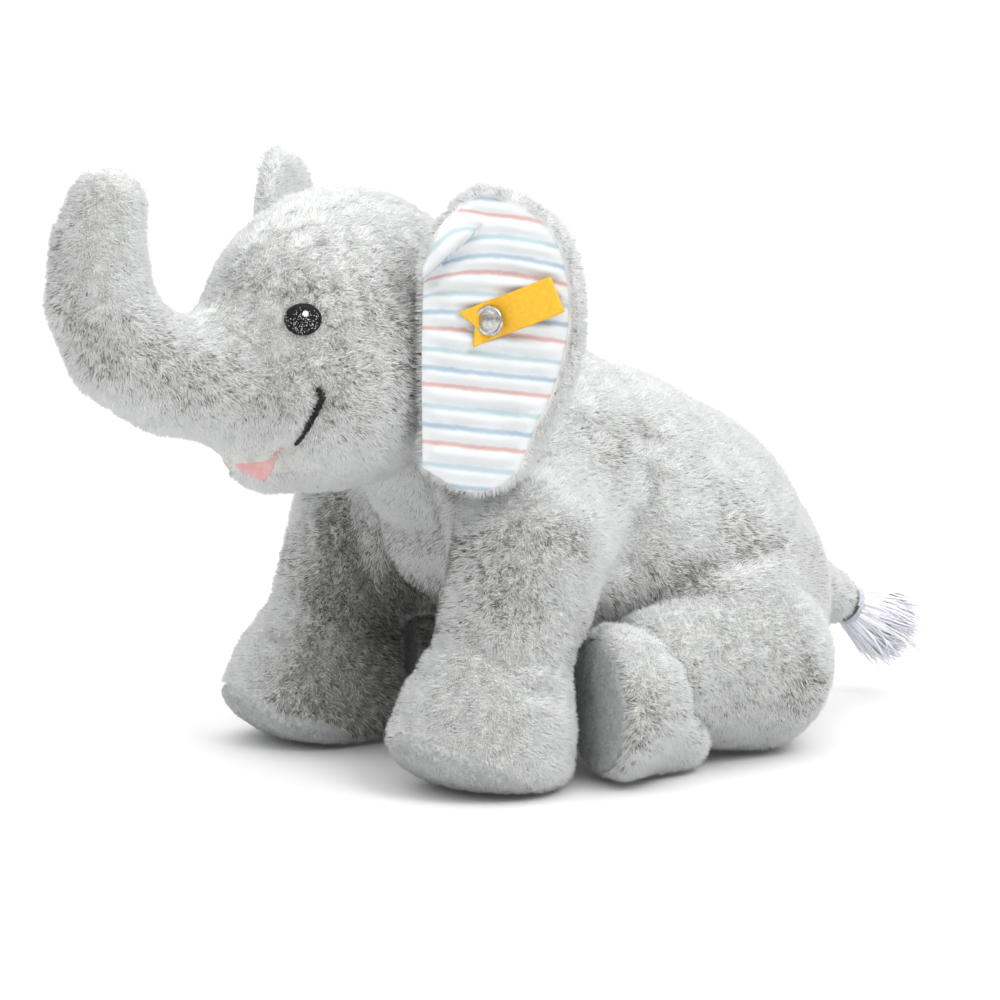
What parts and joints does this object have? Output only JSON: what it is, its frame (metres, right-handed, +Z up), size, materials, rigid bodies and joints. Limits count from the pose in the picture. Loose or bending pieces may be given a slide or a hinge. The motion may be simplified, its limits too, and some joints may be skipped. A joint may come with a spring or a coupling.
{
  "type": "plush elephant",
  "caption": "Sitting plush elephant with a raised trunk, striped ear linings, jointed soft head, trunk, ears, legs and tail.",
  "frame": {"origin": "on the floor, under the middle of the whole toy's length and width", "axes": "+Z up, the elephant looks along -Y, its left side is +X"},
  "size_m": [0.1492, 0.2801, 0.1675],
  "materials": {
    "plush": "short silver-grey pile, matte with a soft sheen",
    "sole_velour": "short napped grey velour, matte",
    "lining_velour": "white velour printed with thin pink and blue stripes",
    "filling": "white polyester fibre",
    "mouth": "pink felt-like velour",
    "eye_thread": "black embroidery with fine silver glitter",
    "smile_thread": "black stitched thread",
    "tag_ribbon": "plain woven yellow ribbon, no print",
    "rivet_metal": "plain nickel-plated dome",
    "tail_yarn": "soft white and pale lilac yarn",
    "binding_thread": "pale sewing thread, wound tight"
  },
  "bodies": {
    "torso": {"torso_side_left": "plush", "torso_side_right": "plush", "belly_panel": "plush", "torso_filling": "filling"},
    "head": {"head_side_left": "plush", "head_side_right": "plush", "head_gusset": "plush", "chin_panel": "plush", "head_filling": "filling", "mouth_lining": "mouth", "eye_left": "eye_thread", "eye_right": "eye_thread", "smile_stitch_left": "smile_thread", "smile_stitch_right": "smile_thread"},
    "trunk": {"trunk_left": "plush", "trunk_right": "plush", "trunk_filling": "filling"},
    "ear_left": {"ear_back_left": "plush", "ear_lining_left": "lining_velour", "rivet": "rivet_metal", "rivet_washer": "rivet_metal"},
    "ear_right": {"ear_back_right": "plush", "ear_lining_right": "lining_velour"},
    "ear_tag": {"ear_tag": "tag_ribbon"},
    "tail": {"tail_cover": "plush", "tail_filling": "filling", "tail_binding": "binding_thread", "tail_tuft": "tail_yarn"},
    "foreleg_left": {"foreleg_left_outer": "plush", "foreleg_left_inner": "plush", "foreleg_left_sole": "sole_velour", "foreleg_left_filling": "filling"},
    "foreleg_right": {"foreleg_right_outer": "plush", "foreleg_right_inner": "plush", "foreleg_right_sole": "sole_velour", "foreleg_right_filling": "filling"},
    "hindleg_left": {"hindleg_left_outer": "plush", "hindleg_left_inner": "plush", "hindleg_left_sole": "sole_velour", "hindleg_left_filling": "filling"},
    "hindleg_right": {"hindleg_right_outer": "plush", "hindleg_right_inner": "plush", "hindleg_right_sole": "sole_velour", "hindleg_right_filling": "filling"}
  },
  "joints": [
    {"name": "head_nod", "type": "hinge", "parent": "torso", "child": "head", "pos_m": [0, -0.02958, 0.09863], "axis": [1, 0, 0], "range_deg": [-10, 8]},
    {"name": "trunk_flex", "type": "hinge", "parent": "head", "child": "trunk", "pos_m": [0, -0.082, 0.107], "axis": [1, 0, 0], "range_deg": [-10, 8], "stiffness_Nm_per_rad": 0.15},
    {"name": "ear_flap_left", "type": "hinge", "parent": "head", "child": "ear_left", "pos_m": [0.0385, -0.051, 0.1135], "axis": [0, 0, 1], "range_deg": [-30, 3], "stiffness_Nm_per_rad": 0.02},
    {"name": "ear_flap_right", "type": "hinge", "parent": "head", "child": "ear_right", "pos_m": [-0.0385, -0.051, 0.1135], "axis": [0, 0, -1], "range_deg": [-30, 3], "stiffness_Nm_per_rad": 0.02},
    {"name": "ear_tag_swivel", "type": "hinge", "parent": "ear_left", "child": "ear_tag", "pos_m": [0.04813, -0.03822, 0.1253], "axis": [0.7986, -0.6018, 0], "range_deg": [-20, 20]},
    {"name": "tail_swing", "type": "hinge", "parent": "torso", "child": "tail", "pos_m": [0, 0.0917, 0.04], "axis": [0, 0, 1], "range_deg": [-18, 18], "stiffness_Nm_per_rad": 0.02},
    {"name": "foreleg_swing_left", "type": "hinge", "parent": "torso", "child": "foreleg_left", "pos_m": [0.038, -0.0193, 0.063], "axis": [-1, 0, 0], "range_deg": [0, 40]},
    {"name": "hindleg_splay_left", "type": "hinge", "parent": "torso", "child": "hindleg_left", "pos_m": [0.038, 0.0507, 0.025], "axis": [0, 0, 1], "range_deg": [0, 22]},
    {"name": "foreleg_swing_right", "type": "hinge", "parent": "torso", "child": "foreleg_right", "pos_m": [-0.038, -0.0193, 0.063], "axis": [-1, 0, 0], "range_deg": [0, 40]},
    {"name": "hindleg_splay_right", "type": "hinge", "parent": "torso", "child": "hindleg_right", "pos_m": [-0.038, 0.0507, 0.025], "axis": [0, 0, -1], "range_deg": [0, 22]}
  ]
}
